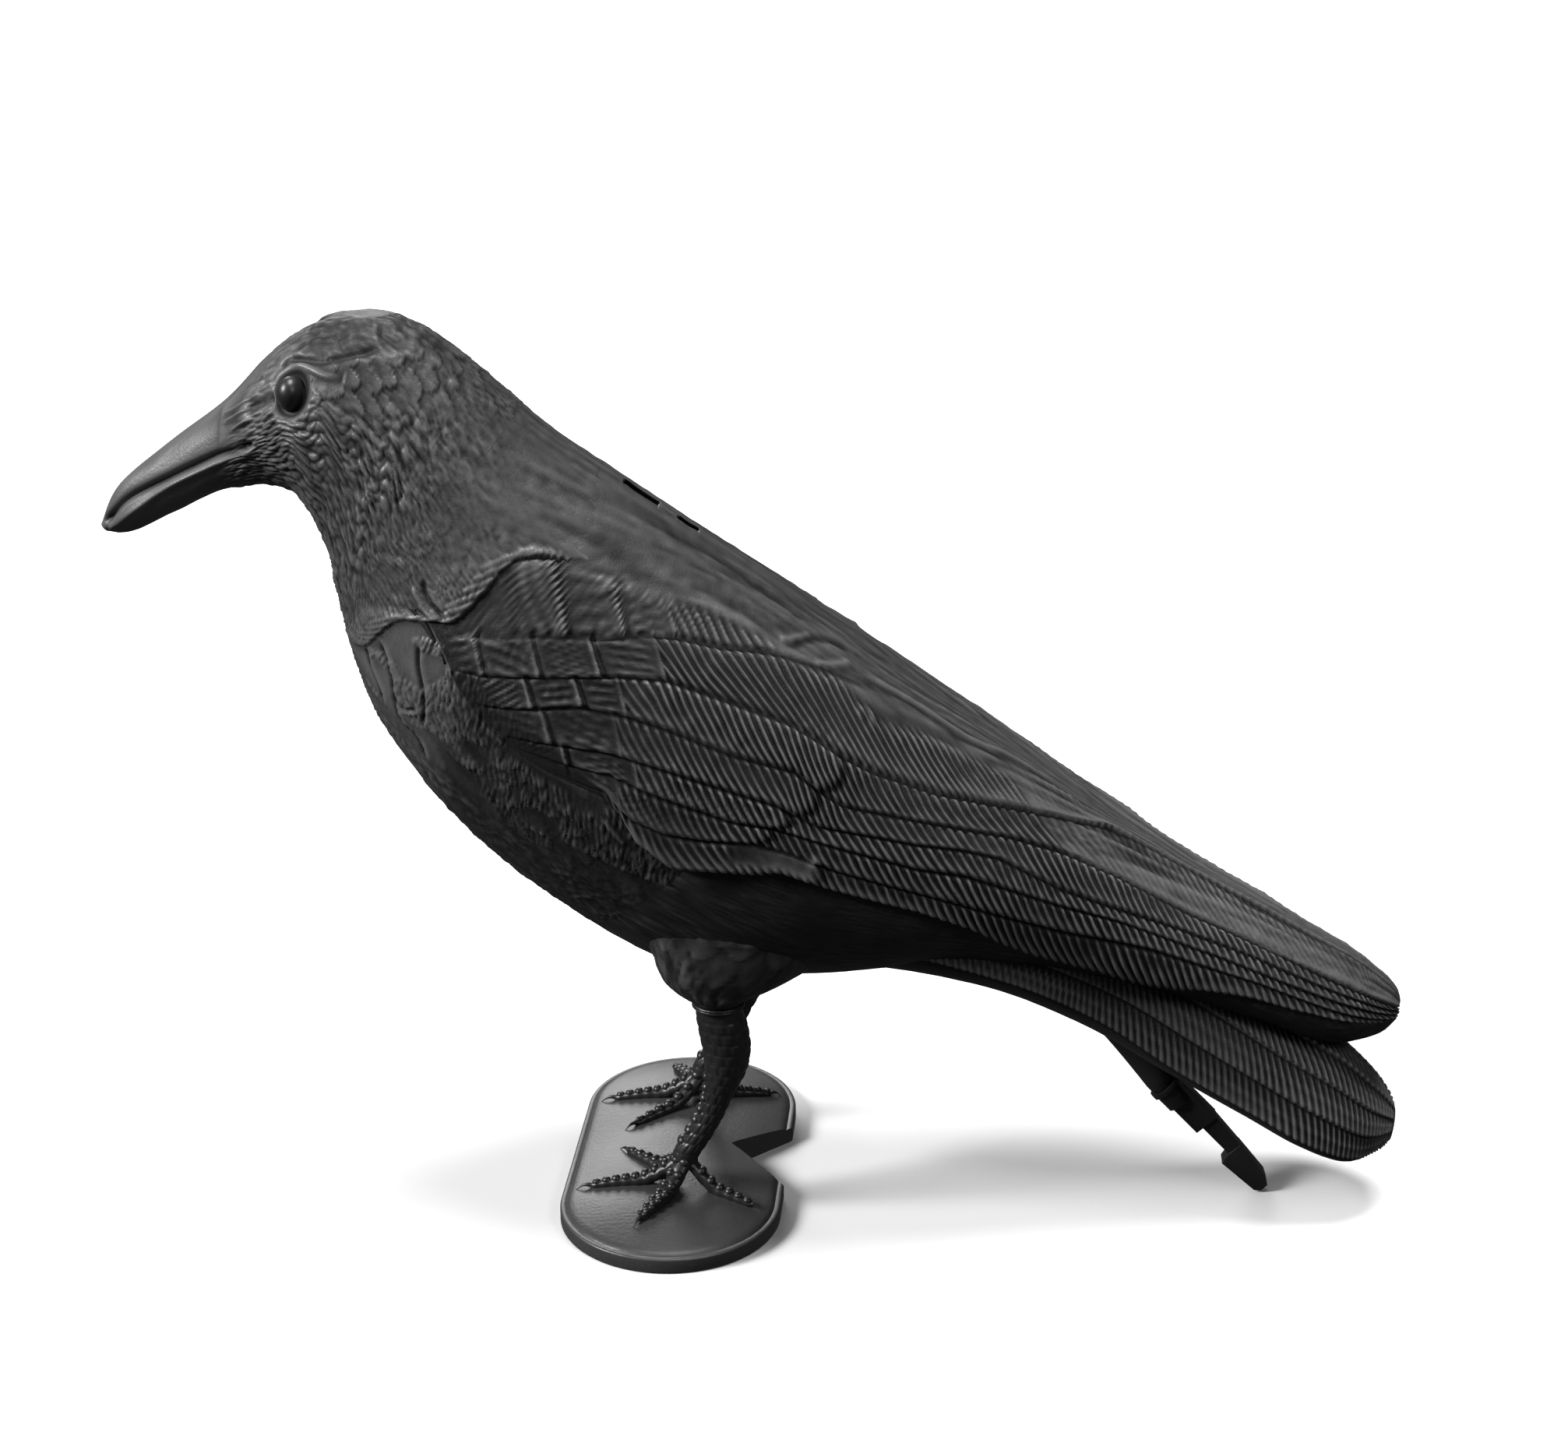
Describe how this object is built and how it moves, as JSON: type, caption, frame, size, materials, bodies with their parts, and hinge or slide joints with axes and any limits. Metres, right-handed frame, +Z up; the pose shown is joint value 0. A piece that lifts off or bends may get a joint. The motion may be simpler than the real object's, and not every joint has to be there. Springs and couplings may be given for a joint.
{
  "type": "crow decoy",
  "caption": "Moulded black crow decoy that stands on scaly legs set in a low rounded base, with folded wings, a folded tail and a small hooked clip under the tail.",
  "frame": {"origin": "middle of the base's underside, on the surface that the decoy stands on", "axes": "+Z up, -X the way the bird faces, +Y the bird's right side"},
  "size_m": [0.3974, 0.1306, 0.2777],
  "materials": {
    "body": "satin black, moulded with feather relief",
    "stand": "satin black, moulded with scales",
    "clip": "satin black, plain"
  },
  "bodies": {
    "root": {"crow_body": "body", "leg_stand": "stand", "tail_clip": "clip"}
  },
  "joints": []
}
